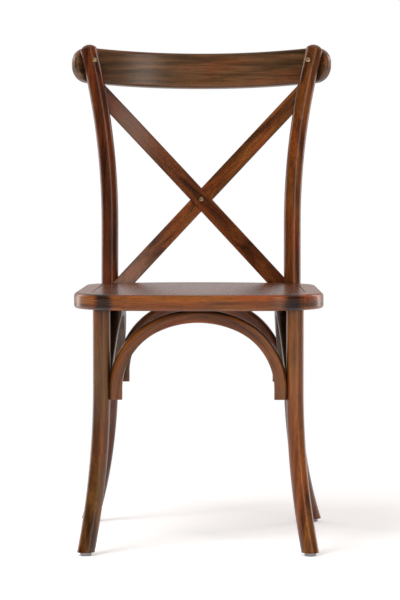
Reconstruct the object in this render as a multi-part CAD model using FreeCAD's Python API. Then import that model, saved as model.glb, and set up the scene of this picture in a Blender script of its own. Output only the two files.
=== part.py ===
import FreeCAD, Part
import math
import os

# Cross back dining chair in bent wood, in millimetres.
# X runs to the sitter's side, Y to the back and Z up. While the pieces are made, Y is
# measured from the centres of the front legs. At the end everything slides along Y, so that
# the origin is on the floor under the middle of the whole chair.

os.makedirs("parts", exist_ok=True)

Vector = FreeCAD.Vector
UP = Vector(0, 0, 1)
DOWN = Vector(0, 0, -1)

# Seat hoop and panel
seat_height = 449.0
ring_thickness = 27.5
seat_width = 434.0
seat_overhang = 48.0
seat_depth = 442.0
seat_front_bow_radius = 1500.0
seat_front_corner_radius = 105.0
seat_rear_corner_radius = 75.0
seat_rear_bow_radius = 440.0
seat_side_taper = 0.03
rim_width = 32.0
lip_width = 38.0
inner_corner_radius = 12.0
panel_thickness = 12.0
panel_gap = 0.25
ring_top_rounding = 7.0
ring_bottom_rounding = 5.0
groove_chamfer = 1.2

# Front legs
leg_radius = 15.0
leg_inset = 50.6
leg_bend_rise = 22.0
leg_side_splay = 27.5
leg_front_splay = 30.0
tenon_radius = 10.0
tenon_height = 13.0
tenon_clearance = 0.1

# Back posts, which are the rear legs below the seat
post_radius = 15.5
post_inset = 49.2
post_seat_gap = 3.0
post_top_height = 886.0
post_flare_drop = 331.0
post_top_flare = 43.0
post_bend_rise = 14.5
post_top_lean = 60.0
post_foot_splay = 41.0
post_foot_sweep = 62.0
post_dome_height = 8.0

# Crest rail
rail_drop = 33.5
rail_height = 66.0
rail_thickness = 19.0
rail_front_radius = 420.0
rail_overhang = 39.2
rail_end_rounding = 30.0
rail_edge_rounding = 5.5
rail_let_in = 2.5

# The two straps of the cross
strap_width = 30.0
strap_thickness = 8.0
strap_bow_radius = 490.0
strap_foot_inset = 9.5
strap_top_outset = 11.5
strap_top_drop = 32.5
strap_end_overlap = 11.0
strap_foot_clearance = 2.0
strap_edge_rounding = 1.6
strap_let_in = 2.0
halving_gap = 0.15

# Bent arches under the seat
arch_thickness = 22.5
arch_depth = 25.0
arch_inner_rounding = 2.0
arch_outer_rounding = 7.5
arch_drop = 154.5
arch_crown_radius = 160.0
arch_crown_half_angle = 25.0
arch_crown_flat = 0.4
arch_let_in = 2.0
side_arch_crown_radius = 205.0
side_arch_crown_flat = 2.0
side_arch_rear_shift = 10.0
side_arch_lean = 16.0

# Glides
glide_height = 6.0
glide_radius = 10.0
glide_chamfer = 1.5

# Fasteners
bolt_radius = 3.0
bolt_clearance = 0.1
bolt_head_radius = 5.2
bolt_head_height = 3.4
spotface_clearance = 0.9
crest_bolt_rise = 3.0
nut_radius = 5.5
nut_height = 5.5
nut_collar_height = 2.5
nut_bore_depth = 3.3
rivet_radius = 2.2
rivet_head_radius = 5.2
rivet_head_height = 2.8
rivet_ring_radius = 7.2
rivet_ring_depth = 1.0
washer_radius = 7.0
washer_thickness = 1.0
post_bolt_drop = 18.0
post_bolt_inset = 4.0
post_bolt_reach = 34.0
barrel_nut_radius = 5.0
barrel_nut_length = 12.0
screw_radius = 1.9
screw_head_radius = 3.8
screw_head_depth = 2.4
screw_tip_radius = 0.2
screw_clearance = 0.08
arch_screw_length = 38.0
arch_screw_rise = 17.0
arch_screw_stagger = 12.0
crown_screw_length = 33.0
panel_screw_length = 23.0
panel_screw_spread = 150.0
panel_screw_rear_shift = 8.0
leg_screw_length = 46.0
leg_screw_past_tenon = 6.0
nail_radius = 1.2
nail_head_radius = 2.6
nail_head_thickness = 0.8
nail_head_clearance = 0.4
nail_recess = 1.6
nail_length = 22.0
pin_radius = 1.3
pin_length = 14.0
pin_spacing = 7.0
scarf_from_centre = 180.0
pins_from_centre = 188.0
scarf_line_width = 0.8
scarf_line_depth = 0.9

# Sizes that follow from the ones above
ring_bottom = seat_height - ring_thickness
panel_bottom = seat_height - panel_thickness
seat_front = -seat_overhang
seat_rear = seat_depth - seat_overhang
arch_foot_height = ring_bottom - arch_drop
leg_bend_height = arch_foot_height + leg_bend_rise
leg_half_spacing = seat_width / 2 - leg_inset
post_bend_height = arch_foot_height + post_bend_rise
post_half_spacing = seat_width / 2 - post_inset
post_flare_height = post_top_height - post_flare_drop
rail_mid_height = post_top_height - rail_drop
crest_bolt_height = rail_mid_height + crest_bolt_rise
strap_top_height = rail_mid_height - strap_top_drop
post_bolt_height = seat_height - post_bolt_drop
SIDES = {"left": -1, "right": 1}


# Bent rods. A bend is a point on the centre line, the way up along it there, the way that it
# curves and its radius. Below the point the same circle goes on downwards.
def bend_radius(reach, offset):
    """The radius of a bend that leaves a straight line by an offset over a reach."""
    return (reach ** 2 + offset ** 2) / (2 * offset)


def bend_angle(bend, height):
    """How far round the bend its centre line has that height."""
    point, along, inward, radius = bend
    rise, drift = radius * along.z, radius * inward.z
    return math.atan2(drift, rise) + math.asin((height - point.z - drift) / math.hypot(rise, drift))


def bend_point(bend, height):
    point, along, inward, radius = bend
    angle = bend_angle(bend, height)
    return point + along * (radius * math.sin(angle)) + inward * (radius * (1 - math.cos(angle)))


def bend_direction(bend, height):
    _, along, inward, _ = bend
    angle = bend_angle(bend, height)
    return along * math.cos(angle) + inward * math.sin(angle)


def bent_rod(bend, rod_radius, low, high):
    """A round rod along the bend, cut square to its centre line at two heights."""
    point, along, inward, radius = bend
    circle = Part.makeCircle(rod_radius, bend_point(bend, low), bend_direction(bend, low))
    turn = math.degrees(bend_angle(bend, high) - bend_angle(bend, low))
    return Part.Face(Part.Wire(circle)).revolve(point + inward * radius, along.cross(inward), turn)


def leg_bend():
    """The right front leg's bend, out and forwards below the seat."""
    point = Vector(leg_half_spacing, 0, leg_bend_height)
    offset = Vector(leg_side_splay, -leg_front_splay, 0)
    return point, UP, Vector(offset).normalize(), bend_radius(leg_bend_height, offset.Length)


def front_leg_centre(height):
    """A point on the right front leg's centre line."""
    if height < leg_bend_height:
        return bend_point(leg_bend(), height)
    return Vector(leg_half_spacing, 0, height)


def post_bends():
    """The right back post's three bends: the swept foot, the lean, and the lean with the flare."""
    point = Vector(post_half_spacing, rear_edge_y(post_half_spacing) + post_seat_gap + post_radius,
                   post_bend_height)
    offset = Vector(post_foot_splay, post_foot_sweep, 0)
    foot = (point, UP, Vector(offset).normalize(), bend_radius(post_bend_height, offset.Length))
    lean_radius = bend_radius(post_top_height - post_bend_height, post_top_lean)
    lean = (point, UP, Vector(0, 1, 0), lean_radius)
    start, along = bend_point(lean, post_flare_height), bend_direction(lean, post_flare_height)
    curving = Vector(1 / bend_radius(post_flare_drop, post_top_flare), 1 / lean_radius, 0)
    curving = curving - along * curving.dot(along)
    flare = (start, along, Vector(curving).normalize(), 1 / curving.Length)
    return foot, lean, flare


def post_bend(height):
    """The one of the post's bends that holds a height."""
    foot, lean, flare = post_bends()
    if height < post_bend_height:
        return foot
    return lean if height < post_flare_height else flare


def post_centre(height):
    """A point on the right back post's centre line."""
    return bend_point(post_bend(height), height)


def post_direction(height):
    return bend_direction(post_bend(height), height)


def mirrored(shape):
    return shape.mirror(Vector(0, 0, 0), Vector(1, 0, 0))


def on_side(shape, side):
    """The right-hand shape as it is, or its mirror image on the left."""
    return shape if side > 0 else mirrored(shape)


def both_sides(shape):
    return [mirrored(shape), shape]


def half_space_box(low, high):
    """A box larger than the chair between two heights, to trim with."""
    reach = 4 * seat_width
    return Part.makeBox(2 * reach, 2 * reach, high - low, Vector(-reach, -reach, low))


def placed(shape, origin, axis):
    """The shape, made along Z at the origin, moved to a point with Z turned to the axis."""
    result = shape.copy()
    result.Placement = FreeCAD.Placement(origin, FreeCAD.Rotation(UP, axis))
    return result


def turned(profile, origin, axis):
    """A turned solid from (radius, distance along the axis) corners."""
    corners = [Vector(0, 0, profile[0][1])]
    corners += [Vector(radius, 0, along) for radius, along in profile]
    corners.append(Vector(0, 0, profile[-1][1]))
    face = Part.Face(Part.makePolygon(corners + [corners[0]]))
    return placed(face.revolve(Vector(0, 0, 0), UP, 360), origin, axis)


def dome(radius, height, origin, axis):
    """A low dome that stands on the plane through the origin."""
    ball_radius = (radius ** 2 + height ** 2) / (2 * height)
    middle = math.asin(min(radius / ball_radius, 1.0)) / 2
    crown = Vector(0, 0, height)
    shoulder = Vector(ball_radius * math.sin(middle), 0, height - ball_radius * (1 - math.cos(middle)))
    rim = Vector(radius, 0, 0)
    edges = [Part.makeLine(Vector(0, 0, 0), rim), Part.Arc(rim, shoulder, crown).toShape(),
             Part.makeLine(crown, Vector(0, 0, 0))]
    face = Part.Face(Part.Wire(edges))
    return placed(face.revolve(Vector(0, 0, 0), UP, 360), origin, axis)


def screw(origin, axis, length, grow=0.0):
    """A countersunk screw whose head is flush at the origin and which points along the axis."""
    profile = [(screw_head_radius + grow, 0), (screw_radius + grow, screw_head_depth),
               (screw_radius + grow, length - screw_radius), (screw_tip_radius, length)]
    return turned(profile, origin, axis)


# The plan of the seat: two bows, two tapering sides and four corner arcs
def seat_corner(inset, at_front):
    """Centre, radius, bow centre and bow radius of a right-hand corner of the seat's plan."""
    if at_front:
        corner_radius, bow_radius = seat_front_corner_radius, seat_front_bow_radius
        bow_centre = Vector(0, seat_front + bow_radius, 0)
    else:
        corner_radius, bow_radius = seat_rear_corner_radius, seat_rear_bow_radius
        bow_centre = Vector(0, seat_rear - bow_radius, 0)
    radius = max(corner_radius - inset, inner_corner_radius)
    along = Vector(-seat_side_taper, 1, 0).normalize()
    inward = Vector(-1, -seat_side_taper, 0).normalize()
    start = Vector(seat_width / 2, seat_front + seat_front_corner_radius, 0) + inward * (inset + radius)
    offset = start - bow_centre
    half_b = offset.dot(along)
    reach = bow_radius - inset - radius
    root = math.sqrt(half_b ** 2 - offset.dot(offset) + reach ** 2)
    centre = start + along * (-half_b - root if at_front else -half_b + root)
    return centre, radius, bow_centre, bow_radius - inset


def seat_outline(inset, height):
    """The seat's plan as a closed wire, drawn in by the inset, at a height."""
    outward = Vector(1, seat_side_taper, 0).normalize()
    points = []
    for at_front in (True, False):
        centre, radius, bow_centre, _ = seat_corner(inset, at_front)
        on_bow = centre + (centre - bow_centre).normalize() * radius
        on_side_line = centre + outward * radius
        middle = centre + (on_bow + on_side_line - centre * 2).normalize() * radius
        points.append((on_bow, middle, on_side_line))
    (front_bow, front_middle, front_side), (rear_bow, rear_middle, rear_side) = points

    def level(point, side=1):
        return Vector(point.x * side, point.y, height)

    def arc(first, middle, last):
        return Part.Arc(first, middle, last).toShape()

    edges = [arc(level(front_bow, -1), Vector(0, seat_front + inset, height), level(front_bow)),
             arc(level(front_bow), level(front_middle), level(front_side)),
             Part.makeLine(level(front_side), level(rear_side)),
             arc(level(rear_side), level(rear_middle), level(rear_bow)),
             arc(level(rear_bow), Vector(0, seat_rear - inset, height), level(rear_bow, -1)),
             arc(level(rear_bow, -1), level(rear_middle, -1), level(rear_side, -1)),
             Part.makeLine(level(rear_side, -1), level(front_side, -1)),
             arc(level(front_side, -1), level(front_middle, -1), level(front_bow, -1))]
    return Part.Wire(edges)


def seat_slab(inset, low, high):
    return Part.Face(seat_outline(inset, low)).extrude(Vector(0, 0, high - low))


def level_edges(shape, height):
    """The edges that lie flat at a height."""
    chosen = []
    for edge in shape.Edges:
        box = edge.BoundBox
        if abs(box.ZMin - height) < 0.01 and abs(box.ZMax - height) < 0.01:
            chosen.append(edge)
    return chosen


def front_edge_y(across):
    """Where the seat's front corner is, seen from above, at a distance from the middle."""
    centre, radius, _, _ = seat_corner(0.0, True)
    return centre.y - math.sqrt(radius ** 2 - (across - centre.x) ** 2)


def rear_edge_y(across):
    """Where the seat's rear edge is, seen from above, at a distance from the middle."""
    centre, radius, bow_centre, bow_radius = seat_corner(0.0, False)
    if across > centre.x:
        return centre.y + math.sqrt(radius ** 2 - (across - centre.x) ** 2)
    return bow_centre.y + math.sqrt(bow_radius ** 2 - across ** 2)


def ring_blank():
    """The bent hoop with its rounded outside, its rebate for the panel and its lip."""
    slab = seat_slab(0.0, ring_bottom, seat_height)
    slab = slab.makeFillet(ring_top_rounding, level_edges(slab, seat_height))
    slab = slab.makeFillet(ring_bottom_rounding, level_edges(slab, ring_bottom))
    window = seat_slab(rim_width + lip_width, ring_bottom - 1, seat_height + 1)
    rebate = seat_slab(rim_width, panel_bottom, seat_height + 1)
    groove_foot = seat_outline(rim_width, seat_height - groove_chamfer)
    groove_top = seat_outline(rim_width - groove_chamfer, seat_height)
    groove = Part.makeLoft([groove_foot, groove_top], True, True)
    return slab.cut([window, rebate, groove])


def panel_blank():
    """The panel that drops into the rebate, with its top edge chamfered."""
    panel = seat_slab(rim_width + panel_gap, panel_bottom, seat_height)
    return panel.makeChamfer(groove_chamfer, level_edges(panel, seat_height))


def scarf_frame(across):
    """A point on the hoop's outside at the right front corner, and the way out of the wood."""
    centre, _, _, _ = seat_corner(0.0, True)
    point = Vector(across, front_edge_y(across), (seat_height + ring_bottom) / 2)
    outward = Vector(point.x - centre.x, point.y - centre.y, 0).normalize()
    return point, outward


def scarf_line():
    """The thin line that the scarf joint shows on the outside of the hoop."""
    point, outward = scarf_frame(scarf_from_centre)
    blade = Part.makeBox(scarf_line_width, 2 * scarf_line_depth, 2 * ring_thickness,
                         Vector(-scarf_line_width / 2, -scarf_line_depth, -ring_thickness))
    blade.Placement = FreeCAD.Placement(point, FreeCAD.Rotation(Vector(0, 1, 0), outward))
    return blade


def scarf_pins():
    """Two thin pins through the glued scarf joint."""
    point, outward = scarf_frame(pins_from_centre)
    pins = []
    for rise in (-pin_spacing / 2, pin_spacing / 2):
        pins.append(Part.makeCylinder(pin_radius, pin_length, point + Vector(0, 0, rise), outward * -1))
    return pins


# The bent arches, made upright with the gap below, then placed
def rounded_section(origin, outward):
    """The section of an arch at its foot: softer corners outside than inside."""
    inner, outer = arch_inner_rounding, arch_outer_rounding
    half = arch_depth / 2
    wide = arch_thickness

    def spot(out, back):
        return origin + outward * (out - wide / 2) + Vector(0, back, 0)

    def corner(first, last, centre, radius):
        middle = centre + ((first - centre) + (last - centre)).normalize() * radius
        return Part.Arc(first, middle, last).toShape()

    inner_left, inner_right = spot(0, inner - half), spot(0, half - inner)
    back_in, back_out = spot(inner, half), spot(wide - outer, half)
    outer_right, outer_left = spot(wide, half - outer), spot(wide, outer - half)
    front_out, front_in = spot(wide - outer, -half), spot(inner, -half)
    edges = [Part.makeLine(inner_left, inner_right),
             corner(inner_right, back_in, spot(inner, half - inner), inner),
             Part.makeLine(back_in, back_out),
             corner(back_out, outer_right, spot(wide - outer, half - outer), outer),
             Part.makeLine(outer_right, outer_left),
             corner(outer_left, front_out, spot(wide - outer, outer - half), outer),
             Part.makeLine(front_out, front_in),
             corner(front_in, inner_left, spot(inner, inner - half), inner)]
    return Part.Wire(edges)


def arch_bend(centre, radius, first, turn):
    """A bent length of arch about a centre, from one angle off upright through another."""
    outward = Vector(math.sin(first), 0, math.cos(first))
    section = Part.Face(rounded_section(centre + outward * radius, outward))
    return section.revolve(centre, Vector(0, 1, 0), math.degrees(turn))


def bent_arch(outer_half_width, rise, crown_radius):
    """An arch in the XZ plane over the origin: straight feet, two shoulders and a crown."""
    half_width = outer_half_width - arch_thickness / 2
    top = rise - arch_thickness / 2
    angle = math.radians(arch_crown_half_angle)
    radius = crown_radius + arch_thickness / 2
    shoulder = (half_width - radius * math.sin(angle)) / (1 - math.sin(angle))
    spring = top - radius + (radius - shoulder) * math.cos(angle)
    foot = min(spring, 0.0) - arch_thickness
    crown = arch_bend(Vector(0, 0, top - radius), radius, -angle, 2 * angle)
    bent = arch_bend(Vector(half_width - shoulder, 0, spring), shoulder, angle, math.pi / 2 - angle)
    straight = Part.Face(rounded_section(Vector(half_width, 0, spring), Vector(1, 0, 0)))
    straight = straight.extrude(Vector(0, 0, foot - spring))
    return crown.fuse(both_sides(bent) + both_sides(straight))


def trimmed_to_seat(arch):
    """The arch between its flat feet and the underside of the hoop."""
    return arch.common(half_space_box(arch_foot_height, ring_bottom))


def cross_arch(inner_face, back):
    """The arch between two legs whose inner faces stand at a distance from the middle."""
    rise = arch_drop + arch_crown_flat
    arch = bent_arch(inner_face + arch_let_in, rise, arch_crown_radius)
    arch.translate(Vector(0, back, arch_foot_height))
    return trimmed_to_seat(arch)


def side_arch_ends():
    """Where the right side arch meets the front leg and the post, at its feet."""
    front = Vector(leg_half_spacing, leg_radius - arch_let_in, arch_foot_height)
    rear_post = post_centre(arch_foot_height)
    rear = Vector(rear_post.x - side_arch_rear_shift, rear_post.y - post_radius + arch_let_in,
                  arch_foot_height)
    return front, rear


def side_arch_frame():
    """Middle, direction towards the back, and upward direction of the leaning side arch."""
    front, rear = side_arch_ends()
    along = (rear - front).normalize()
    inward = Vector(-along.y, along.x, 0)
    upward = (UP * arch_drop + inward * side_arch_lean).normalize()
    return (front + rear) * 0.5, along, upward


def side_arch():
    """The right side arch, whose crown leans in to sit on the hoop's lip."""
    front, rear = side_arch_ends()
    middle, along, upward = side_arch_frame()
    rise = arch_drop / upward.z + side_arch_crown_flat
    arch = bent_arch((rear - front).Length / 2, rise, side_arch_crown_radius)
    turn = FreeCAD.Rotation(along, upward.cross(along), upward, "XZY")
    arch.Placement = FreeCAD.Placement(middle, turn)
    return trimmed_to_seat(arch)


# The crest rail, bent to a radius and square to the leaning posts
def rail_lean():
    along = post_direction(rail_mid_height)
    return math.atan2(along.y, along.z)


def rail_half_width():
    return post_centre(rail_mid_height).x + rail_overhang


def rail_bend_centre():
    """The centre of the rail's bend, so that its front face is let into the posts."""
    post = post_centre(rail_mid_height)
    reach = rail_front_radius - post_radius + rail_let_in
    back = math.sqrt(reach ** 2 - post.x ** 2)
    lean = rail_lean()
    return Vector(0, post.y - back * math.cos(lean), rail_mid_height + back * math.sin(lean))


def rail_blank():
    """A bent board with rounded ends and softened edges."""
    inner, outer = rail_front_radius, rail_front_radius + rail_thickness
    half = rail_height / 2
    sweep = math.degrees(math.asin(rail_half_width() / outer))
    corners = [Vector(0, inner, -half), Vector(0, outer, -half), Vector(0, outer, half), Vector(0, inner, half)]
    face = Part.Face(Part.makePolygon(corners + [corners[0]]))
    face.rotate(Vector(0, 0, 0), UP, -sweep)
    board = face.revolve(Vector(0, 0, 0), UP, 2 * sweep)
    radial = []
    for edge in board.Edges:
        if abs(edge.Length - rail_thickness) < 0.01:
            radial.append(edge)
    board = board.makeFillet(rail_end_rounding, radial)
    rims = []
    for edge in board.Edges:
        reaches = [math.hypot(vertex.X, vertex.Y) for vertex in edge.Vertexes]
        if max(reaches) - min(reaches) < 0.01:
            rims.append(edge)
    board = board.makeFillet(rail_edge_rounding, rims)
    board.rotate(Vector(0, 0, 0), Vector(1, 0, 0), -math.degrees(rail_lean()))
    board.translate(rail_bend_centre())
    return board


# The straps, cut out of one bowed and leaning sheet
def strap_sheet_back(height):
    """How far back the middle of the bowed sheet is at a height."""
    def bowed(across):
        return strap_bow_radius - math.sqrt(strap_bow_radius ** 2 - across ** 2)

    low, high = post_centre(post_bolt_height), post_centre(strap_top_height)
    reach = post_radius - strap_let_in + strap_thickness / 2
    low_back = low.y - reach + bowed(low.x)
    high_back = high.y + reach + bowed(high.x)
    return low_back + (high_back - low_back) * (height - low.z) / (high.z - low.z)


def strap_sheet(front_offset, back_offset):
    """The sheet between two offsets from its middle surface, negative to the front."""
    low, high = ring_bottom - strap_width, strap_top_height + 2 * strap_width
    half = post_centre(strap_top_height).x + strap_end_overlap
    lean = Vector(0, strap_sheet_back(high) - strap_sheet_back(low), high - low)

    def curve(offset):
        radius = strap_bow_radius + offset
        centre = strap_sheet_back(low) - strap_bow_radius
        end = centre + math.sqrt(radius ** 2 - half ** 2)
        return Vector(-half, end, low), Vector(0, centre + radius, low), Vector(half, end, low)

    front, back = curve(front_offset), curve(back_offset)
    face = Part.Face(Part.Wire([Part.Arc(*front).toShape(), Part.makeLine(front[2], back[2]),
                                Part.Arc(*back).toShape(), Part.makeLine(back[0], front[0])]))
    return face.extrude(lean)


def strap_slope():
    """How far a strap runs sideways for each step up, and the height where the two cross."""
    foot = post_centre(post_bolt_height).x - strap_foot_inset
    top = post_centre(strap_top_height).x + strap_top_outset
    run_per_rise = (foot + top) / (strap_top_height - post_bolt_height)
    return run_per_rise, post_bolt_height + foot / run_per_rise


def strap_band(grow=0.0):
    """The strap's outline seen from the front, from low on the right to high on the left."""
    low, high = ring_bottom + strap_foot_clearance, strap_top_height
    run_per_rise, cross_height = strap_slope()
    along = Vector(-run_per_rise, 0, 1).normalize()
    across = Vector(1, 0, run_per_rise).normalize() * (strap_width / 2 + grow)
    bottom = Vector((cross_height - low) * run_per_rise, 0, low)
    top = Vector((cross_height - high) * run_per_rise, 0, high)
    over = along * (2 * strap_width)
    corners = [bottom - over - across, bottom - over + across, top + across, top - across]
    face = Part.Face(Part.makePolygon(corners + [corners[0]]))
    face.translate(Vector(0, -seat_depth, 0))
    band = face.extrude(Vector(0, 4 * seat_depth, 0))
    return band.common(half_space_box(low, high + strap_width))


def long_edges(shape):
    """The strap's long edges, for rounding."""
    return [edge for edge in shape.Edges if edge.Length > (strap_top_height - seat_height) / 2]


def strap_blank():
    strap = strap_sheet(-strap_thickness / 2, strap_thickness / 2).common(strap_band())
    return strap.makeFillet(strap_edge_rounding, long_edges(strap))


def cross_straps():
    """Two mirrored straps, halved into each other so that their faces are flush."""
    over = strap_thickness
    front_half = strap_sheet(-over, 0.0).common(strap_band(halving_gap))
    back_half = strap_sheet(0.0, over).common(mirrored(strap_band(halving_gap)))
    front_strap = strap_blank().cut(back_half)
    back_strap = mirrored(strap_blank()).cut(front_half)
    return front_strap, back_strap


# Legs and posts
def leg_blank():
    """A front leg with its tenon, and its foot cut flat for the glide."""
    foot = bent_rod(leg_bend(), leg_radius, -glide_height, leg_bend_height)
    foot = foot.cut(half_space_box(-4 * glide_height, glide_height))
    upright = front_leg_centre(leg_bend_height)
    straight = Part.makeCylinder(leg_radius, ring_bottom - leg_bend_height, upright)
    tenon = Part.makeCylinder(tenon_radius, tenon_height, front_leg_centre(ring_bottom))
    return foot.fuse([straight, tenon])


def tenon_socket():
    base = front_leg_centre(ring_bottom) - UP
    return Part.makeCylinder(tenon_radius + tenon_clearance, tenon_height + tenon_clearance + 1, base)


def post_blank():
    """A back post from the foot to its domed top."""
    foot_bend, lean_bend, flare_bend = post_bends()
    foot = bent_rod(foot_bend, post_radius, -glide_height, post_bend_height)
    foot = foot.cut(half_space_box(-4 * glide_height, glide_height))
    middle = bent_rod(lean_bend, post_radius, post_bend_height, post_flare_height)
    shoulder = post_top_height - post_dome_height
    upper = bent_rod(flare_bend, post_radius, post_flare_height, shoulder)
    cap = dome(post_radius, post_dome_height, post_centre(shoulder), post_direction(shoulder))
    return foot.fuse([middle, upper, cap])


# Fasteners
def crest_bolt_frame():
    """The centre of the right post at the crest bolt, and the bolt's direction to the back."""
    point = post_centre(crest_bolt_height)
    turn = math.asin(point.x / (rail_front_radius - post_radius + rail_let_in))
    lean = rail_lean()
    return point, Vector(math.sin(turn), math.cos(turn) * math.cos(lean), -math.cos(turn) * math.sin(lean))


def head_seat(head_radius):
    """How far from a post's centre a round head finds a flat to sit on."""
    return math.sqrt(post_radius ** 2 - (head_radius + spotface_clearance) ** 2)


def crest_bolt():
    point, back = crest_bolt_frame()
    seat = head_seat(bolt_head_radius)
    length = seat + post_radius - rail_let_in + rail_thickness + nut_bore_depth
    shank = Part.makeCylinder(bolt_radius, length, point - back * seat, back)
    return shank.fuse(dome(bolt_head_radius, bolt_head_height, point - back * seat, back * -1))


def crest_bolt_hole():
    point, back = crest_bolt_frame()
    seat = head_seat(bolt_head_radius)
    bore = Part.makeCylinder(bolt_radius + bolt_clearance, 6 * post_radius, point - back * seat, back)
    spotface = Part.makeCylinder(bolt_head_radius + spotface_clearance, post_radius,
                                 point - back * seat, back * -1)
    return bore.fuse(spotface)


def crest_nut():
    """A domed nut behind the rail, on the end of the crest bolt."""
    point, back = crest_bolt_frame()
    seat = point + back * (post_radius - rail_let_in + rail_thickness)
    body = Part.makeCylinder(nut_radius, nut_collar_height, seat, back)
    cap = dome(nut_radius, nut_height - nut_collar_height, seat + back * nut_collar_height, back)
    return body.fuse(cap).cut(Part.makeCylinder(bolt_radius, nut_bore_depth, seat, back))


def nut_seat():
    """A shallow flat for the nut on the rail's rounded back."""
    point, back = crest_bolt_frame()
    seat = point + back * (post_radius - rail_let_in + rail_thickness)
    return Part.makeCylinder(nut_radius + spotface_clearance, nut_height, seat, back)


def rivet_frame():
    """The crossing of the straps on the middle surface, and the way to the front."""
    _, cross_height = strap_slope()
    low, high = strap_sheet_back(post_bolt_height), strap_sheet_back(strap_top_height)
    forward = Vector(0, post_bolt_height - strap_top_height, high - low).normalize()
    return Vector(0, strap_sheet_back(cross_height), cross_height), forward


def cross_rivet():
    point, forward = rivet_frame()
    head = point + forward * (strap_thickness / 2 - rivet_ring_depth)
    length = strap_thickness - rivet_ring_depth + 2 * washer_thickness
    rivet = Part.makeCylinder(rivet_radius, length, head, forward * -1)
    return rivet.fuse(dome(rivet_head_radius, rivet_head_height, head, forward))


def cross_rivet_hole():
    point, forward = rivet_frame()
    bore = Part.makeCylinder(rivet_radius, 4 * strap_thickness, point - forward * 2 * strap_thickness, forward)
    floor = point + forward * (strap_thickness / 2 - rivet_ring_depth)
    return bore.fuse(Part.makeCylinder(rivet_ring_radius, strap_thickness, floor, forward))


def cross_rivet_washer():
    point, forward = rivet_frame()
    face = point - forward * (strap_thickness / 2)
    washer = Part.makeCylinder(washer_radius, washer_thickness, face, forward * -1)
    return washer.cut(Part.makeCylinder(rivet_radius, washer_thickness, face, forward * -1))


def post_bolt_point():
    """Where the right post bolt's line crosses the post, behind the seat."""
    centre = post_centre(post_bolt_height)
    return Vector(centre.x - post_bolt_inset, centre.y, centre.z)


def post_bolt_seat():
    wide = bolt_head_radius + spotface_clearance + post_bolt_inset
    return math.sqrt(post_radius ** 2 - wide ** 2)


def post_bolt():
    """A bolt from the back of the post, through the strap's end, into the hoop."""
    start = post_bolt_point() + Vector(0, post_bolt_seat(), 0)
    length = start.y - rear_edge_y(start.x) + post_bolt_reach
    shank = Part.makeCylinder(bolt_radius, length, start, Vector(0, -1, 0))
    return shank.fuse(dome(bolt_head_radius, bolt_head_height, start, Vector(0, 1, 0)))


def post_bolt_hole():
    start = post_bolt_point() + Vector(0, post_bolt_seat(), 0)
    length = start.y - rear_edge_y(start.x) + post_bolt_reach + bolt_clearance
    bore = Part.makeCylinder(bolt_radius + bolt_clearance, length, start, Vector(0, -1, 0))
    return bore.fuse(Part.makeCylinder(bolt_head_radius + spotface_clearance, post_radius, start, Vector(0, 1, 0)))


def barrel_nut(grow=0.0):
    """A barrel nut in a hole bored up into the hoop, across the end of the post bolt."""
    point = post_bolt_point()
    centre = Vector(point.x, rear_edge_y(point.x) - post_bolt_reach + barrel_nut_radius, point.z)
    base = centre - UP * (barrel_nut_length / 2)
    if grow:
        top = barrel_nut_length / 2 + centre.z - ring_bottom + 1
        return Part.makeCylinder(barrel_nut_radius + grow, top, Vector(base.x, base.y, ring_bottom - 1))
    return Part.makeCylinder(barrel_nut_radius, barrel_nut_length, base)


def arch_screw_height():
    return arch_foot_height + arch_screw_rise


def cross_arch_screw(inner_face, back, grow=0.0):
    """A screw through the right foot of a cross arch into the leg."""
    head = Vector(inner_face + arch_let_in - arch_thickness, back, arch_screw_height())
    return screw(head, Vector(1, 0, 0), arch_screw_length, grow)


def side_arch_screws(grow=0.0):
    """The screws through the feet of the right side arch, into the front leg and the post."""
    front, rear = side_arch_ends()
    middle, along, upward = side_arch_frame()
    rise = arch_screw_rise + arch_screw_stagger
    up_the_arch = upward * (rise / upward.z)
    front_head = front + along * arch_thickness + up_the_arch
    rear_head = rear - along * arch_thickness + up_the_arch
    to_leg = (front_leg_centre(front_head.z) - front_head).normalize()
    to_post = (post_centre(rear_head.z) - rear_head).normalize()
    length = arch_screw_length - screw_head_depth
    return [screw(front_head, to_leg, length, grow), screw(rear_head, to_post, length, grow)]


def cross_crown_screw(back, grow=0.0):
    head = Vector(0, back, ring_bottom + arch_crown_flat - arch_thickness)
    return screw(head, UP, crown_screw_length, grow)


def side_crown_screw(grow=0.0):
    """The screw up through the right side arch's crown into the hoop's lip."""
    middle, _, upward = side_arch_frame()
    crown = middle + upward * (arch_drop / upward.z)
    head = crown - upward * (arch_thickness - side_arch_crown_flat)
    return screw(head, UP, crown_screw_length, grow)


def panel_screws(grow=0.0):
    """The screws up through the right half of the lip into the panel."""
    inset = rim_width + lip_width / 2
    outline = seat_outline(inset, ring_bottom)
    box = outline.BoundBox
    side_line = outline.Edges[2]
    first, last = side_line.Vertexes[0].Point, side_line.Vertexes[1].Point
    spread = panel_screw_spread / 2
    middle = (first + last) * 0.5
    along = (last - first).normalize()
    points = [middle - along * spread, middle + along * spread,
              Vector(spread, box.YMax - panel_screw_rear_shift, ring_bottom)]
    return [screw(Vector(point.x, point.y, ring_bottom), UP, panel_screw_length, grow) for point in points]


def leg_screw(grow=0.0):
    """A level screw from the lip's inner edge outwards into the right leg's tenon."""
    centre, _, _, _ = seat_corner(0.0, True)
    tenon = front_leg_centre(ring_bottom)
    target = Vector(tenon.x, tenon.y, ring_bottom + tenon_height / 2)
    outward = Vector(tenon.x - centre.x, tenon.y - centre.y, 0).normalize()
    head = target - outward * (leg_screw_length - leg_screw_past_tenon)
    return screw(head, outward, leg_screw_length, grow)


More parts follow.
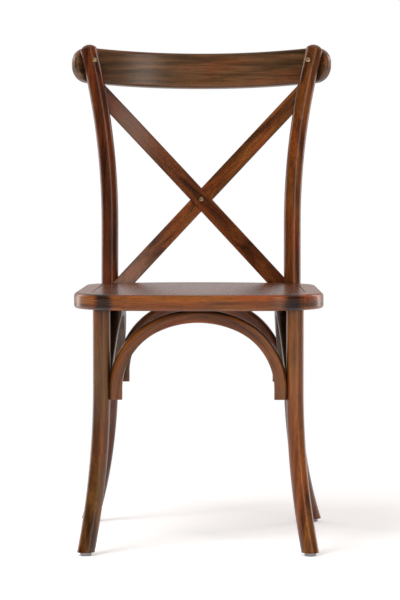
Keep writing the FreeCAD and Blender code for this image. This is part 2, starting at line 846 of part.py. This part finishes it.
# Glides
def glide(foot):
    """A nylon glide under a foot, with a recess for its nail."""
    profile = [(glide_radius - glide_chamfer, 0), (glide_radius, glide_chamfer), (glide_radius, glide_height)]
    disc = turned(profile, Vector(foot.x, foot.y, 0), UP)
    recess = Part.makeCylinder(nail_head_radius + nail_head_clearance, nail_recess,
                               Vector(foot.x, foot.y, 0))
    return disc.cut([recess, nail(foot)])


def nail(foot):
    """The nail that holds a glide: a flat head in the recess and a shank into the leg."""
    head = nail_recess - nail_head_thickness
    profile = [(nail_head_radius, head), (nail_head_radius, nail_recess), (nail_radius, nail_recess),
               (nail_radius, nail_length - nail_radius), (screw_tip_radius, nail_length)]
    return turned(profile, Vector(foot.x, foot.y, 0), UP)


def build():
    """Every piece by name, each fitted to the ones that it bears on."""
    pieces = {}
    front_strap, back_strap = cross_straps()
    rivet_hole = cross_rivet_hole()
    ring = ring_blank()
    rail = rail_blank()
    front_face = leg_half_spacing - leg_radius
    rear_back = post_centre(arch_foot_height + arch_screw_rise).y
    rear_face = post_half_spacing - post_radius
    front_arch = cross_arch(front_face, 0.0)
    rear_arch = cross_arch(rear_face, rear_back)
    right_arch = side_arch()

    crest_holes = both_sides(crest_bolt_hole())
    post_bolt_holes = both_sides(post_bolt_hole())
    gap = screw_clearance
    front_screw_holes = both_sides(cross_arch_screw(front_face, 0.0, gap))
    rear_screw_holes = both_sides(cross_arch_screw(rear_face, rear_back, gap))
    side_screw_holes = side_arch_screws(gap)
    crown_holes = [cross_crown_screw(0.0, gap), cross_crown_screw(rear_back, gap)]
    crown_holes += both_sides(side_crown_screw(gap))
    panel_holes = []
    for hole in panel_screws(gap):
        panel_holes += both_sides(hole)
    strap_cuts = [front_strap, back_strap]

    ring_cuts = strap_cuts + both_sides(tenon_socket()) + both_sides(barrel_nut(bolt_clearance))
    ring_cuts += post_bolt_holes + crown_holes + panel_holes + both_sides(leg_screw(gap))
    ring_cuts += [scarf_line()] + scarf_pins()
    pieces["seat_ring"] = ring.cut(ring_cuts)
    pieces["seat_panel"] = panel_blank().cut(panel_holes)
    pieces["scarf_pins"] = Part.makeCompound(scarf_pins())
    pieces["crest_rail"] = rail.cut(strap_cuts + crest_holes + both_sides(nut_seat()))
    pieces["front_cross_strap"] = front_strap.cut([rivet_hole] + post_bolt_holes)
    pieces["back_cross_strap"] = back_strap.cut([rivet_hole] + post_bolt_holes)

    post = post_blank().cut([rail, ring, rear_arch, right_arch, nail(post_centre(glide_height))])
    post = post.cut([crest_holes[1], post_bolt_holes[1], rear_screw_holes[1], side_screw_holes[1]])
    leg = leg_blank().cut([front_arch, right_arch, nail(front_leg_centre(glide_height))])
    leg = leg.cut([front_screw_holes[1], side_screw_holes[0], leg_screw(gap)])
    side = right_arch.cut(side_screw_holes + [crown_holes[-1]])
    for name, side_sign in SIDES.items():
        pieces[name + "_back_post"] = on_side(post, side_sign).cut(strap_cuts)
        pieces[name + "_front_leg"] = on_side(leg, side_sign)
        pieces[name + "_side_arch"] = on_side(side, side_sign)
        for end, centre_line in (("front", front_leg_centre), ("rear", post_centre)):
            pieces[name + "_" + end + "_glide"] = on_side(glide(centre_line(glide_height)), side_sign)
    pieces["front_arch"] = front_arch.cut(front_screw_holes + [crown_holes[0]])
    pieces["rear_arch"] = rear_arch.cut(rear_screw_holes + [crown_holes[1]])

    pieces["crest_bolts"] = Part.makeCompound(both_sides(crest_bolt()))
    pieces["crest_nuts"] = Part.makeCompound(both_sides(crest_nut()))
    pieces["cross_rivet"] = cross_rivet()
    pieces["cross_rivet_washer"] = cross_rivet_washer()
    nuts = both_sides(barrel_nut().cut(post_bolt()))
    pieces["post_bolts"] = Part.makeCompound(both_sides(post_bolt()))
    pieces["post_bolt_nuts"] = Part.makeCompound(nuts)
    pieces["front_arch_screws"] = Part.makeCompound(both_sides(cross_arch_screw(front_face, 0.0)))
    pieces["rear_arch_screws"] = Part.makeCompound(both_sides(cross_arch_screw(rear_face, rear_back)))
    side_screws = []
    for piece in side_arch_screws():
        side_screws += both_sides(piece)
    pieces["side_arch_screws"] = Part.makeCompound(side_screws)
    crowns = [cross_crown_screw(0.0), cross_crown_screw(rear_back)] + both_sides(side_crown_screw())
    pieces["crown_screws"] = Part.makeCompound(crowns)
    panel_set = []
    for piece in panel_screws():
        panel_set += both_sides(piece)
    pieces["panel_screws"] = Part.makeCompound(panel_set)
    pieces["leg_screws"] = Part.makeCompound(both_sides(leg_screw()))
    nails = both_sides(nail(front_leg_centre(glide_height))) + both_sides(nail(post_centre(glide_height)))
    pieces["glide_nails"] = Part.makeCompound(nails)
    return pieces


pieces = build()
front = pieces["seat_ring"].optimalBoundingBox().YMin
back = pieces["crest_rail"].optimalBoundingBox().YMax
slide = Vector(0, -(front + back) / 2, 0)
for name, shape in pieces.items():
    shape.translate(slide)
    shape.exportStep("parts/" + name + ".step")
    print(name, "solids", len(shape.Solids), "valid", shape.isValid(), "volume", round(shape.Volume))
print("slide along Y", round(slide.y, 3))
print("front foot", front_leg_centre(glide_height) + slide)
print("rear foot", post_centre(glide_height) + slide)
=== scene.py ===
# %% [markdown]
# A cross back chair in bent beech
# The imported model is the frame: every bent leg, arch, strap and bolt is already there at its
# real size, in metres. This lesson gives each piece the finish of the real one, and sets up a
# plain white studio round it.

# %% Load the frame
import bpy
import math
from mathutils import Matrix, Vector


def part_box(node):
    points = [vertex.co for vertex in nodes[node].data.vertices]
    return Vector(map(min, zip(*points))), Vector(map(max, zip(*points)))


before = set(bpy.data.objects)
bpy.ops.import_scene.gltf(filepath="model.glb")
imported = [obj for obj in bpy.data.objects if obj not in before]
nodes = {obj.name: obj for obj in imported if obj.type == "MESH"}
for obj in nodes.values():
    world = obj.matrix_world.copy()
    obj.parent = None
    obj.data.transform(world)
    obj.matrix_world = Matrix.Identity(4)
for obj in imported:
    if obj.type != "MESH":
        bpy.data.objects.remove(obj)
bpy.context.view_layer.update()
scene = bpy.context.scene

# %% [markdown]
# Colours are written as the sRGB hex values that a picture program shows. Blender's sockets
# want linear light, so one function turns them.

# %% Colours


def colour(code):
    """A linear colour with full alpha from an sRGB hex code."""
    parts = [int(code[index:index + 2], 16) / 255 for index in (0, 2, 4)]
    linear = [part / 12.92 if part <= 0.04045 else ((part + 0.055) / 1.055) ** 2.4 for part in parts]
    return (*linear, 1.0)


def grey(level):
    """A linear grey. Above 1 it brightens what it multiplies."""
    return (level, level, level, 1.0)


print("walnut stain", [round(part, 3) for part in colour("6b3c1f")])

# %% [markdown]
# A material is a tree of nodes. It could be drawn by hand in the shader editor, but as code it
# can be made again for each piece. One function adds a node. Its settings are named, its
# sockets are given by name or number, and a value that is another node becomes a link. A
# colour ramp also takes its stops.

# %% One function for every node


def add(tree, kind, sockets=None, stops=(), **settings):
    """A new shader node with its settings, its ramp's stops, and its values and links."""
    node = tree.nodes.new("ShaderNode" + kind)
    for key, value in settings.items():
        setattr(node, key, value)
    for index, (position, shade) in enumerate(stops):
        elements = node.color_ramp.elements
        element = elements[index] if index < 2 else elements.new(position)
        element.position = position
        element.color = shade
    for socket, value in (sockets or {}).items():
        if isinstance(value, bpy.types.Node):
            value = value.outputs[0]
        if isinstance(value, bpy.types.NodeSocket):
            tree.links.new(value, node.inputs[socket])
        else:
            node.inputs[socket].default_value = value
    return node


def empty_material(name):
    """A material without nodes, and its tree."""
    material = bpy.data.materials.new(name)
    material.use_nodes = True
    material.node_tree.nodes.clear()
    return material, material.node_tree


def dress(name, material):
    """Puts a finish on a piece of the frame."""
    mesh = nodes[name].data
    mesh.materials.clear()
    mesh.materials.append(material)


print("pieces to dress", len(nodes))

# %% [markdown]
# Patterns are measured in millimetres, so that a pore or a fibre can be given its real size.
# The frame is in metres, so its coordinates are scaled first, and so are its boxes.

# %% The chair's space in millimetres
millimetre = 0.001


def millimetres(tree):
    """The place on the chair, as a vector in millimetres."""
    place = add(tree, "TexCoord").outputs["Object"]
    return add(tree, "VectorMath", {0: place, 3: 1.0 / millimetre}, operation="SCALE")


def middle(name):
    """The middle of a piece's box, in millimetres."""
    low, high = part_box(name)
    return (low + high) / 2 / millimetre


def top(name):
    """The height of a piece's top, in millimetres."""
    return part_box(name)[1].z / millimetre


print("seat top", round(top("seat_panel"), 1), "mm")

# %% [markdown]
# Bent wood keeps its fibres along every curve, because the rod was steamed straight and then
# bent. A flat projection would cut the fibres where the piece bends, so the grain is laid out
# in bent coordinates instead: how far along the piece, how far across it, and how far through.
# A leg bends so little that it can use the chair's own axes. A strap is straight but slanted,
# so its two directions in the plane of the back are dot products.

# %% Grain of the straight pieces


def straight_grain(along, across, through):
    """Grain along one of the chair's axes, each axis given by its number."""
    def layout(tree):
        axes = add(tree, "SeparateXYZ", {0: millimetres(tree)}).outputs
        return add(tree, "CombineXYZ", {0: axes[along], 1: axes[across], 2: axes[through]})
    return layout


def slanted_grain(run):
    """Grain along a strap that leans sideways by that run for each step up."""
    length = math.hypot(run, 1.0)
    up_the_strap = (run / length, 0.0, 1.0 / length)
    over_the_strap = (1.0 / length, 0.0, -run / length)

    def layout(tree):
        place = millimetres(tree)
        along, across, through = [
            add(tree, "VectorMath", {0: place, 1: way}, operation="DOT_PRODUCT").outputs["Value"]
            for way in (up_the_strap, over_the_strap, (0.0, 1.0, 0.0))]
        return add(tree, "CombineXYZ", {0: along, 1: across, 2: through})
    return layout


upright, front_to_back = straight_grain(2, 0, 1), straight_grain(1, 0, 2)
strap_lean = 0.938
print("straps lean", round(math.degrees(math.atan(strap_lean)), 1), "degrees from upright")

# %% [markdown]
# An arch and the crest rail are parts of a circle. The angle round its centre, times the
# radius, is the way along the wood, and the distance from the centre is the way across it.

# %% Grain round a bend


def bent_grain(plane, centre, radius):
    """Grain round a centre in the plane of two axes. The third axis goes through the wood."""
    through = ({0, 1, 2} - set(plane)).pop()

    def layout(tree):
        axes = add(tree, "SeparateXYZ", {0: millimetres(tree)}).outputs
        first, second = [add(tree, "Math", {0: axes[axis], 1: start}, operation="SUBTRACT")
                         for axis, start in zip(plane, centre)]
        angle = add(tree, "Math", {0: first, 1: second}, operation="ARCTAN2")
        along = add(tree, "Math", {0: angle, 1: radius}, operation="MULTIPLY")
        level = add(tree, "CombineXYZ", {0: first, 1: second})
        across = add(tree, "VectorMath", {0: level}, operation="LENGTH").outputs["Value"]
        return add(tree, "CombineXYZ", {0: along, 1: across, 2: axes[through]})
    return layout


arch_radius = 148.0
rod_half = 10.0
side_radius = 190.0
side_drop = 160.0
rail_radius = 430.0
front_centre = (middle("front_arch")[0], top("front_arch") - arch_radius - rod_half)
rear_centre = (middle("rear_arch")[0], top("rear_arch") - arch_radius - rod_half)
side_centre = (middle("right_side_arch")[1], top("right_side_arch") - side_drop)
rail_centre = (0.0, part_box("crest_rail")[1].y / millimetre - rail_radius)
print("arch centres", [[round(value) for value in centre] for centre in (front_centre, side_centre)])

# %% [markdown]
# The seat's hoop is a square with round corners. Its distance from the middle is measured with
# the fourth power instead of the second, which gives level lines of about that shape. The
# angle is taken so that its jump, where the pattern can't meet itself, lies at the back.

# %% Grain round the hoop


def hoop_grain(name, squareness):
    """Grain round a hoop with rounded corners. A squareness of 2 is a plain circle."""
    low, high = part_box(name)
    half_x, half_y = [(high - low)[axis] / 2 / millimetre for axis in (0, 1)]
    centre_x, centre_y, _ = middle(name)

    def layout(tree):
        axes = add(tree, "SeparateXYZ", {0: millimetres(tree)}).outputs
        aside = add(tree, "Math", {0: axes[0], 1: centre_x}, operation="SUBTRACT")
        forward = add(tree, "Math", {0: centre_y, 1: axes[1]}, operation="SUBTRACT")
        angle = add(tree, "Math", {0: aside, 1: forward}, operation="ARCTAN2")
        along = add(tree, "Math", {0: angle, 1: half_x}, operation="MULTIPLY")
        powers = []
        for value, half in ((aside, half_x), (forward, half_y)):
            share = add(tree, "Math", {0: value, 1: half}, operation="DIVIDE")
            size = add(tree, "Math", {0: share}, operation="ABSOLUTE")
            powers.append(add(tree, "Math", {0: size, 1: squareness}, operation="POWER"))
        total = add(tree, "Math", {0: powers[0], 1: powers[1]}, operation="ADD")
        root = add(tree, "Math", {0: total, 1: 1.0 / squareness}, operation="POWER")
        across = add(tree, "Math", {0: root, 1: half_x}, operation="MULTIPLY")
        return add(tree, "CombineXYZ", {0: along, 1: across, 2: axes[2]})
    return layout


print("hoop middle", [round(value, 1) for value in middle("seat_ring")])

# %% [markdown]
# The wood is beech, steam bent, wiped with a dark walnut stain and sprayed with a satin
# nitrocellulose lacquer. The stain sinks in unevenly, in four sizes of mark: clouds that run
# from green-brown through grey to orange, bands of figure, fine fibres, and short dark pores.
# Each is noise, stretched along the grain. Real fibres and pores are far under a millimetre
# wide, too thin to show in the render, so they are drawn about a millimetre wide.

# %% Marks in the wood, with their real lengths and widths
cloud_length, cloud_width = 120.0, 38.0
figure_length, figure_width = 230.0, 13.0
fibre_length, fibre_width = 55.0, 1.1
pore_length, pore_width = 14.0, 0.9


def marks(tree, grain, length, width, offset, detail, distortion=0.0):
    """Noise with marks of that length and width in millimetres, moved by an offset."""
    stretch = (1.0 / length, 1.0 / width, 1.0 / width)
    shift = (offset, offset * 1.7, offset * 0.6)
    place = add(tree, "VectorMath", {0: grain, 1: stretch, 2: shift}, operation="MULTIPLY_ADD")
    return add(tree, "TexNoise", {"Vector": place, "Scale": 1.0, "Detail": detail,
                                  "Roughness": 0.5, "Distortion": distortion})


print("fibres per centimetre", round(10.0 / fibre_width))

# %% [markdown]
# Two things darken some pieces. A painted shade darkens the outer side of each arch between
# the legs, as if shaded by the seat above it: the face's direction is compared with the way out
# from the arch's centre. And the hoop is darkened in a ragged band across each side, near its
# two front bends.

# %% Darker places


def painted_outside_shade(plane, centre):
    """A painted shade that darkens the side of a bend that faces away from its centre."""
    in_plane = [1.0 if axis in plane else 0.0 for axis in range(3)]
    start = [0.0, 0.0, 0.0]
    for axis, value in zip(plane, centre):
        start[axis] = value
    # Painted shade: the side facing away from the centre keeps 0.38 of its colour.
    unshaded, shaded = 1.0, 0.38

    def shade(tree, fibres):
        offset = add(tree, "VectorMath", {0: millimetres(tree), 1: start}, operation="SUBTRACT")
        level = add(tree, "VectorMath", {0: offset, 1: in_plane}, operation="MULTIPLY")
        outward = add(tree, "VectorMath", {0: level}, operation="NORMALIZE")
        normal = add(tree, "NewGeometry").outputs["Normal"]
        facing = add(tree, "VectorMath", {0: outward, 1: normal}, operation="DOT_PRODUCT")
        return add(tree, "MapRange", {0: facing.outputs["Value"], 1: 0.25, 2: 0.8, 3: unshaded, 4: shaded})
    return shade


def dark_hoop_bands(distance):
    """A shade that darkens a ragged band on each side of the hoop, that far from its middle."""
    ragged_by = 26.0
    dark_within, clear_beyond = 8.0, 20.0
    # Inside the band the colour is multiplied by 0.12.
    banded, clear = 0.12, 1.0

    def shade(tree, fibres):
        aside = add(tree, "SeparateXYZ", {0: millimetres(tree)}).outputs[0]
        either_side = add(tree, "Math", {0: aside}, operation="ABSOLUTE")
        past = add(tree, "Math", {0: either_side, 1: distance}, operation="SUBTRACT")
        off_band = add(tree, "Math", {0: past}, operation="ABSOLUTE")
        around = add(tree, "Math", {0: fibres, 1: 0.5}, operation="SUBTRACT")
        ragged = add(tree, "Math", {0: around, 1: ragged_by, 2: off_band}, operation="MULTIPLY_ADD")
        return add(tree, "MapRange", {0: ragged, 1: dark_within, 2: clear_beyond, 3: banded, 4: clear},
                   interpolation_type="SMOOTHSTEP")
    return shade


print("scorched bends and unwiped sides ready")

# %% [markdown]
# The stain is a ramp of three browns over the figure. The other marks multiply it, each with
# its own strength, and so does a painted shade in the corners and creases, found by ambient
# occlusion. Painting an image would fix the pattern to one view, while this one holds from every
# side. The lacquer is a clear coat of index about 1.5, satin rather than glossy. It follows the
# fibres slightly, and at a low angle it mirrors the room, which greys the wood.

# %% Stained beech
lacquer_index = 1.5
lacquer_roughness = 0.23
wood_gloss = 0.15


def stained_beech(name, layout, offset, light, mid, dark, shade=None):
    """Bent beech under walnut stain and satin lacquer."""
    material, tree = empty_material("stained_beech_" + name)
    grain = layout(tree)
    figure = marks(tree, grain, figure_length, figure_width, offset, 3.0, 0.6)
    fibres = marks(tree, grain, fibre_length, fibre_width, offset + 3.1, 2.0)
    clouds = marks(tree, grain, cloud_length, cloud_width, offset + 7.7, 2.0, 0.4)
    pores = marks(tree, grain, pore_length, pore_width, offset + 5.3, 1.0)
    # Painted shade: ambient occlusion darkens the wood in corners and creases.
    corners = add(tree, "AmbientOcclusion", {"Distance": 0.014}, samples=8).outputs["AO"]
    base = add(tree, "ValToRGB", {0: figure},
               [(0.30, colour(dark)), (0.46, colour(mid)), (0.60, colour(light)), (0.76, colour(mid))])
    layers = [
        (0.7, clouds, [(0.34, colour("8a8c6c")), (0.5, colour("b8b8a8")), (0.66, colour("cc9e6a"))]),
        (0.75, fibres, [(0.30, grey(0.50)), (0.52, grey(1.0)), (0.75, grey(1.25))]),
        (0.5, pores, [(0.30, grey(0.2)), (0.40, grey(1.0))]),
        # The painted shade in corners and creases, from ambient occlusion.
        (0.8, corners, [(0.35, grey(0.30)), (0.85, grey(1.0))]),
    ]
    multiply = {"data_type": "RGBA", "blend_type": "MULTIPLY"}
    for strength, value, stops in layers:
        layer = add(tree, "ValToRGB", {0: value}, stops)
        base = add(tree, "Mix", {0: strength, 6: base, 7: layer}, **multiply).outputs[2]
    if shade:
        base = add(tree, "Mix", {0: 1.0, 6: base, 7: shade(tree, fibres)}, **multiply).outputs[2]
    uneven = add(tree, "Math", {0: fibres, 1: pores}, operation="ADD")
    relief = add(tree, "Bump", {"Strength": 0.12, "Distance": 0.0002, "Height": uneven})
    rough = add(tree, "MapRange", {0: fibres, 1: 0.3, 2: 0.7, 3: 0.3, 4: 0.42})
    shader = add(tree, "BsdfPrincipled", {
        "Base Color": base, "Roughness": rough, "Normal": relief, "IOR": lacquer_index,
        "Specular IOR Level": wood_gloss, "Coat Weight": 1.0, "Coat IOR": lacquer_index,
        "Coat Roughness": lacquer_roughness})
    add(tree, "OutputMaterial", {"Surface": shader})
    return material


print("lacquer index", lacquer_index, "roughness", lacquer_roughness)

# %% [markdown]
# Each wooden piece came from its own billet, so each has its own part of the pattern: a number
# moves it. The posts and the front legs run upright and are darker, the left ones most.

# %% Posts and front legs
uprights = {
    "left_back_post": (1.3, "7c3b10", "642d0b", "3a1906"),
    "right_back_post": (9.4, "924f18", "783e11", "4a2409"),
    "left_front_leg": (17.2, "85541f", "683e16", "41260c"),
    "right_front_leg": (24.6, "a35f1d", "854913", "552e0b"),
}
for name, (offset, *browns) in uprights.items():
    dress(name, stained_beech(name, upright, offset, *browns))
print("uprights", len(uprights))

# %% [markdown]
# The crest rail is a greyer piece, and the straps of the cross lean to either side.

# %% Rail and straps
back = {
    "crest_rail": (bent_grain((0, 1), rail_centre, rail_radius), 31.5, "865938", "6a482c", "402a18"),
    "front_cross_strap": (slanted_grain(-strap_lean), 38.1, "864413", "68300d", "401f08"),
    "back_cross_strap": (slanted_grain(strap_lean), 44.7, "96541b", "763e11", "4a260a"),
}
for name, (layout, offset, *browns) in back.items():
    dress(name, stained_beech(name, layout, offset, *browns))
print("rail and straps", len(back))

# %% [markdown]
# The hoop was cut from redder, lighter stock. The panel in it is a plain flat board with its
# grain from front to back.

# %% Seat
squareness = 4.0
# The hoop is darkened in a ragged band across each side, this far from its middle.
band_distance = 163.0
dress("seat_ring", stained_beech("seat_ring", hoop_grain("seat_ring", squareness), 52.2,
                                 "ab601d", "884a15", "4c280c", dark_hoop_bands(band_distance)))
dress("seat_panel", stained_beech("seat_panel", front_to_back, 60.9, "82461b", "683615", "45240e"))
print("seat dressed, scorched", band_distance, "mm out")

# %% [markdown]
# The arches at the front and back show the most orange. The side arches stand in shade under
# the seat, and their darker browns paint that shade in.

# %% Arches
across_chair, along_chair = (0, 2), (1, 2)
arches = {
    "front_arch": (across_chair, front_centre, arch_radius, 67.3, "a85f1d", "874915", "4a2609"),
    "rear_arch": (across_chair, rear_centre, arch_radius, 73.8, "98551b", "784113", "452309"),
    # Painted shade: the side arches get darker browns for the shade under the seat.
    "left_side_arch": (along_chair, side_centre, side_radius, 80.4, "6a431d", "4c2e13", "2b1909"),
    "right_side_arch": (along_chair, side_centre, side_radius, 87.9, "6a431d", "4c2e13", "2b1909"),
}
for name, (plane, centre, radius, offset, *browns) in arches.items():
    # Each arch gets a painted shade on its outer side.
    wood = stained_beech(name, bent_grain(plane, centre, radius), offset, *browns,
                         painted_outside_shade(plane, centre))
    dress(name, wood)
print("arches", len(arches))

# %% [markdown]
# The bolt heads, domed nuts and the rivet of the cross are antiqued brass: brass darkened in a
# bath and rubbed back, so it is brown in the low places and yellow on the crown. It is a metal,
# so its colour is in the reflection. The dark skin isn't metal, which lowers metallic a little.

# %% Antiqued brass


def antiqued_brass():
    """Brass, darkened in a bath and rubbed back."""
    material, tree = empty_material("antiqued_brass")
    tarnish = add(tree, "TexNoise", {"Vector": millimetres(tree), "Scale": 0.45, "Detail": 3.0})
    base = add(tree, "ValToRGB", {0: tarnish}, [(0.35, colour("7d6640")), (0.6, colour("cbb184"))])
    rough = add(tree, "MapRange", {0: tarnish, 3: 0.42, 4: 0.25})
    shader = add(tree, "BsdfPrincipled", {"Base Color": base, "Roughness": rough, "Metallic": 0.8})
    add(tree, "OutputMaterial", {"Surface": shader})
    return material


brass = antiqued_brass()
brass_pieces = ("crest_bolts", "crest_nuts", "cross_rivet", "cross_rivet_washer", "post_bolts")
for name in brass_pieces:
    dress(name, brass)
print("brass pieces", len(brass_pieces))

# %% [markdown]
# The hidden screws and nuts are zinc-plated steel, whose plating has faint spangles about a
# millimetre wide. The pins of the scarf joint are steel too, blackened in oil.

# %% Plated and blackened steel


def plated_steel(name, low, high):
    """Steel under a thin plating, mottled between two colours."""
    material, tree = empty_material(name)
    spangle = add(tree, "TexNoise", {"Vector": millimetres(tree), "Scale": 1.2, "Detail": 2.0})
    base = add(tree, "ValToRGB", {0: spangle}, [(0.4, colour(low)), (0.65, colour(high))])
    rough = add(tree, "MapRange", {0: spangle, 3: 0.25, 4: 0.42})
    shader = add(tree, "BsdfPrincipled", {"Base Color": base, "Roughness": rough, "Metallic": 1.0})
    add(tree, "OutputMaterial", {"Surface": shader})
    return material


steel = plated_steel("zinc_plated_steel", "9a9c9c", "c2c2bd")
steel_pieces = ("post_bolt_nuts", "front_arch_screws", "rear_arch_screws", "side_arch_screws",
                "crown_screws", "panel_screws", "leg_screws", "glide_nails")
for name in steel_pieces:
    dress(name, steel)
dress("scarf_pins", plated_steel("blackened_steel", "2a2522", "4a403a"))
print("steel pieces", len(steel_pieces) + 1)

# %% [markdown]
# The glides under the feet are moulded nylon, matt and pale grey. They scuff from the floor
# up, so the scuffs fade over the lowest two and a half millimetres.

# %% Moulded nylon
nylon_index = 1.53


def moulded_nylon():
    """Pale grey nylon, scuffed where it meets the floor."""
    material, tree = empty_material("moulded_nylon")
    place = millimetres(tree)
    scuff = add(tree, "TexNoise", {"Vector": place, "Scale": 0.6, "Detail": 4.0})
    up = add(tree, "SeparateXYZ", {0: place}).outputs[2]
    near_floor = add(tree, "MapRange", {0: up, 1: 0.0, 2: 2.5, 3: 1.2, 4: 0.2})
    worn = add(tree, "Math", {0: scuff, 1: near_floor}, operation="MULTIPLY")
    base = add(tree, "ValToRGB", {0: worn}, [(0.2, colour("a6a5aa")), (0.75, colour("6c6b70"))])
    relief = add(tree, "Bump", {"Strength": 0.3, "Distance": 0.0002, "Height": scuff})
    shader = add(tree, "BsdfPrincipled", {"Base Color": base, "Normal": relief, "Roughness": 0.42,
                                          "IOR": nylon_index})
    add(tree, "OutputMaterial", {"Surface": shader})
    return material


nylon = moulded_nylon()
glides = [name for name in nodes if name.endswith("_glide")]
for name in glides:
    dress(name, nylon)
print("glides", len(glides))

# %% [markdown]
# The floor is a wide sheet of white paper that takes the chair's shadow. Away from the chair it
# turns into a surface that the camera sees as plain white, so it has no edge against the wall.
# A curved backdrop would do that too, but its bend shows as a grey band from other angles.

# %% White floor
floor_half = 12.0
shadow_reach, white_from = 0.55, 1.0
lift_to_white = 0.3
corners = [(-floor_half, -floor_half, 0), (floor_half, -floor_half, 0),
           (floor_half, floor_half, 0), (-floor_half, floor_half, 0)]
floor_mesh = bpy.data.meshes.new("studio_floor")
floor_mesh.from_pydata(corners, [], [(0, 1, 2, 3)])
floor = bpy.data.objects.new("studio_floor", floor_mesh)
scene.collection.objects.link(floor)
paper, tree = empty_material("white_paper")
place = add(tree, "TexCoord").outputs["Object"]
away = add(tree, "VectorMath", {0: place}, operation="LENGTH").outputs["Value"]
whiter = add(tree, "MapRange", {0: away, 1: shadow_reach, 2: white_from}, interpolation_type="SMOOTHSTEP")
fibre = add(tree, "TexNoise", {"Vector": place, "Scale": 900.0, "Detail": 2.0})
sheet = add(tree, "ValToRGB", {0: fibre}, [(0.3, colour("f3f3f3")), (0.7, colour("fafafa"))])
seen = add(tree, "LightPath").outputs["Is Camera Ray"]
matt = add(tree, "BsdfDiffuse", {"Color": sheet})
lift_if_seen = add(tree, "Math", {0: seen, 1: lift_to_white}, operation="MULTIPLY")
lift = add(tree, "Emission", {"Strength": lift_if_seen})
near = add(tree, "AddShader", {0: matt, 1: lift})
far = add(tree, "Emission", {"Strength": 1.0})
far_and_seen = add(tree, "Math", {0: seen, 1: whiter}, operation="MULTIPLY")
add(tree, "OutputMaterial", {"Surface": add(tree, "MixShader", {0: far_and_seen, 1: near, 2: far})})
floor_mesh.materials.append(paper)
print("floor", 2 * floor_half, "m wide, plain white beyond", white_from, "m")

# %% [markdown]
# The world is the room. The camera sees it white. The lacquer sees it white too, but only
# behind the chair and overhead, where the room had its white sweep. Towards the camera the room
# is dark, and that is what keeps the stain deep and free of haze. Diffuse light gets an even
# grey from everywhere.

# %% The room
darkest, sweep, ceiling, ambient = 0.008, 0.56, 0.5, 0.52
world = bpy.data.worlds.new("studio")
scene.world = world
world.use_nodes = True
world.node_tree.nodes.clear()
room = world.node_tree
way = add(room, "SeparateXYZ", {0: add(room, "TexCoord").outputs["Generated"]}).outputs
soft_step = {"interpolation_type": "SMOOTHSTEP"}
behind = add(room, "MapRange", {0: way[1], 1: 0.0, 2: 0.5, 3: darkest, 4: sweep}, **soft_step)
overhead = add(room, "MapRange", {0: way[2], 1: 0.45, 2: 0.9, 3: 0.0, 4: ceiling}, **soft_step)
mirrored = add(room, "Math", {0: behind, 1: overhead}, operation="MAXIMUM")
ray = add(room, "LightPath").outputs
in_mirror = add(room, "Math", {0: ray["Is Glossy Ray"], 1: ray["Is Transmission Ray"]}, operation="MAXIMUM")
even_light = add(room, "Background", {"Color": colour("fbf8f6"), "Strength": ambient})
mirror_light = add(room, "Background", {"Color": colour("f8eae8"), "Strength": mirrored})
white = add(room, "Background", {"Color": (1, 1, 1, 1), "Strength": 1.0})
unseen = add(room, "MixShader", {0: in_mirror, 1: even_light, 2: mirror_light})
add(room, "OutputWorld", {"Surface": add(room, "MixShader", {0: ray["Is Camera Ray"], 1: unseen, 2: white})})
print("even light", ambient, "sweep behind", sweep)

# %% [markdown]
# Five soft boxes light the chair. The key stands high on the left and the fill by the camera.
# A tall narrow strip on the right draws the pale stripe down the round posts, and two tall
# boxes beside the white wall draw the thin bright lines along their edges. The key and the fill
# only light the stain: the lacquer doesn't mirror them, or they would fog it.

# %% Soft boxes
aim = Vector((0, 0, 0.5))


def soft_box(name, azimuth, height, distance, width, tall, power, tint, in_gloss):
    """A rectangular lamp aimed at the middle of the chair. Azimuth 0 is at the camera's side."""
    lamp = bpy.data.lights.new(name, "AREA")
    lamp.shape = "RECTANGLE"
    lamp.size, lamp.size_y = width, tall
    lamp.energy = power
    lamp.color = colour(tint)[:3]
    turn = math.radians(azimuth)
    place = Vector((math.sin(turn) * distance, -math.cos(turn) * distance, height))
    holder = bpy.data.objects.new(name, lamp)
    holder.visible_glossy = in_gloss
    scene.collection.objects.link(holder)
    holder.location = place
    holder.rotation_euler = (aim - place).to_track_quat("-Z", "Y").to_euler()
    print(name, [round(value, 2) for value in place])


soft_box("key_box", -34, 3.1, 2.7, 1.6, 1.6, 78, "ffffff", False)
soft_box("fill_box", 12, 1.6, 4.2, 1.6, 1.6, 24, "fffaf4", False)
soft_box("stripe_box", 30, 1.6, 3.4, 0.7, 2.8, 17, "fff4ea", True)
soft_box("left_edge_box", -128, 0.9, 2.6, 0.6, 2.4, 12, "ffe6de", True)
soft_box("right_edge_box", 128, 0.9, 2.6, 0.6, 2.4, 12, "ffe6de", True)

# %% [markdown]
# The camera stands where the photographer's did: about 5.6 metres away, just below the height
# of the crest rail, a little to the right, looking slightly down. Its long lens keeps the front
# and back legs nearly the same size. Blender lays the sensor's width along the picture's longer
# side, so the lens is the focal length in pixels, over the picture's height, times that width.

# %% Camera
picture_height = 600
focal_pixels = 3143.3
look_down, turn_left = 0.05712, 0.01286
lens_data = bpy.data.cameras.new("studio_camera")
lens_data.sensor_width = 36.0
lens_data.lens = focal_pixels / picture_height * lens_data.sensor_width
camera = bpy.data.objects.new("studio_camera", lens_data)
scene.collection.objects.link(camera)
camera.location = (0.0724, -5.6317, 0.7467)
camera.rotation_euler = (math.radians(90) - look_down, 0.0, turn_left)
scene.camera = camera
scene.view_settings.view_transform = "Standard"
print("lens", round(lens_data.lens, 1), "mm")
